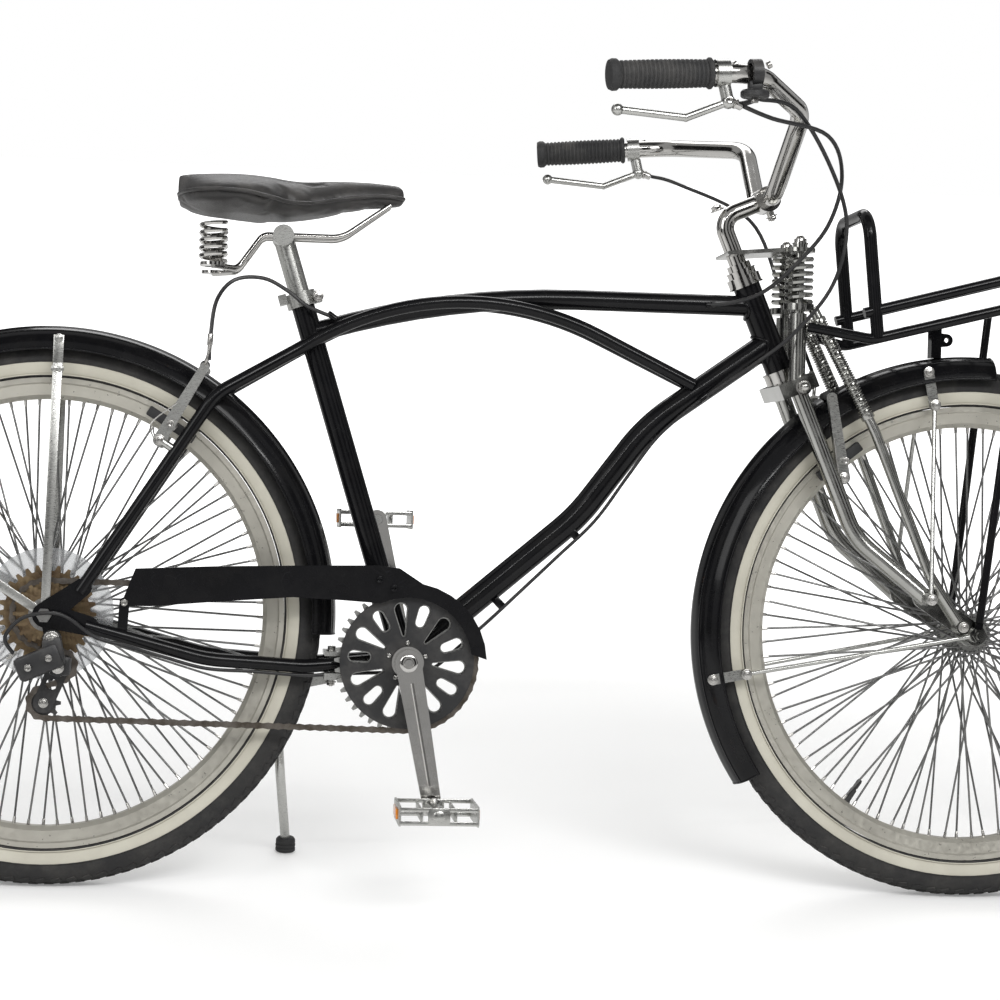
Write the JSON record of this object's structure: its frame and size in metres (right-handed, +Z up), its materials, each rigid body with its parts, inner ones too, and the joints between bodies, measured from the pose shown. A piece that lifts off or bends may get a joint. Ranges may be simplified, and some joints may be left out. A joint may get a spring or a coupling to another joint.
{
  "type": "beach cruiser bicycle",
  "caption": "Beach cruiser bicycle with a dual-spring fork, arched twin-tube frame, full fenders, front rack, chain guard and side stand, leaning as parked.",
  "frame": {"origin": "on the floor below the middle of the bounding box", "axes": "+X to the front, +Y to the rider's left, +Z up; the bicycle leans 9 degrees to +Y on its side stand"},
  "size_m": [1.8309, 0.6946, 1.029],
  "materials": {
    "black_plastic": "satin",
    "brown_steel": "oiled",
    "chrome": "polished",
    "clear_plastic": "satin",
    "gloss_black": "gloss",
    "grip_rubber": "matte",
    "saddle_cover": "satin",
    "satin_alloy": "satin",
    "steel": "brushed",
    "tyre_rubber": "matte"
  },
  "bodies": {
    "frame": {"head_tube": "gloss_black", "headset": "chrome", "top_tube": "gloss_black", "down_tube": "gloss_black", "seat_tube": "gloss_black", "bb_shell": "gloss_black", "twin_tubes": "gloss_black", "chain_stays": "gloss_black", "dropouts": "gloss_black", "rear_axle": "steel", "seat_post": "chrome", "saddle": "saddle_cover", "saddle_springs": "steel", "chain_guard": "gloss_black", "rear_fender": "gloss_black", "rear_fender_stays": "chrome", "rear_brake": "satin_alloy", "derailleur": "black_plastic", "chain": "steel", "stand_bracket": "satin_alloy", "rear_cables": "black_plastic"},
    "fork": {"stem": "chrome", "fork_blades": "chrome", "fork_springs": "chrome", "fork_legs": "chrome", "fork_rockers": "chrome", "handlebar": "chrome", "grips": "grip_rubber", "brake_levers": "satin_alloy", "front_brake": "satin_alloy", "front_fender": "gloss_black", "front_fender_stays": "chrome", "front_rack": "gloss_black", "front_cables": "black_plastic"},
    "front_wheel": {"front_tyre": "tyre_rubber", "front_rim": "chrome", "front_spokes": "steel", "front_hub": "satin_alloy"},
    "rear_wheel": {"rear_tyre": "tyre_rubber", "rear_rim": "chrome", "rear_spokes": "steel", "rear_hub": "satin_alloy", "freewheel": "brown_steel", "spoke_guard": "clear_plastic"},
    "crankset": {"cranks": "chrome", "chainring": "steel", "ring_guard": "black_plastic"},
    "right_pedal": {"pedal_right": "black_plastic"},
    "left_pedal": {"pedal_left": "black_plastic"},
    "side_stand": {"stand_leg": "satin_alloy"}
  },
  "joints": [
    {"name": "steering", "type": "hinge", "parent": "frame", "child": "fork", "pos_m": [0.314, -0.03802, 0.70159], "axis": [-0.3907, 0.144, 0.9092], "range_deg": [-50, 50]},
    {"name": "front_wheel_spin", "type": "hinge", "parent": "fork", "child": "front_wheel", "pos_m": [0.583, -0.097, 0.32923], "axis": [0, 0.9877, -0.1564], "continuous": true},
    {"name": "rear_wheel_spin", "type": "hinge", "parent": "frame", "child": "rear_wheel", "pos_m": [-0.565, -0.097, 0.32923], "axis": [0, 0.9877, -0.1564], "continuous": true},
    {"name": "crank_spin", "type": "hinge", "parent": "frame", "child": "crankset", "pos_m": [-0.128, -0.10451, 0.28182], "axis": [0, 0.9877, -0.1564], "continuous": true},
    {"name": "right_pedal_spin", "type": "hinge", "parent": "crankset", "child": "right_pedal", "pos_m": [-0.09461, -0.13138, 0.11215], "axis": [0, 0.9877, -0.1564], "continuous": true},
    {"name": "left_pedal_spin", "type": "hinge", "parent": "crankset", "child": "left_pedal", "pos_m": [-0.16139, -0.07764, 0.45149], "axis": [0, 0.9877, -0.1564], "continuous": true},
    {"name": "stand_fold", "type": "hinge", "parent": "frame", "child": "side_stand", "pos_m": [-0.285, -0.06138, 0.23449], "axis": [-0.035, 0.9928, -0.1147], "range_deg": [0, 108]}
  ]
}
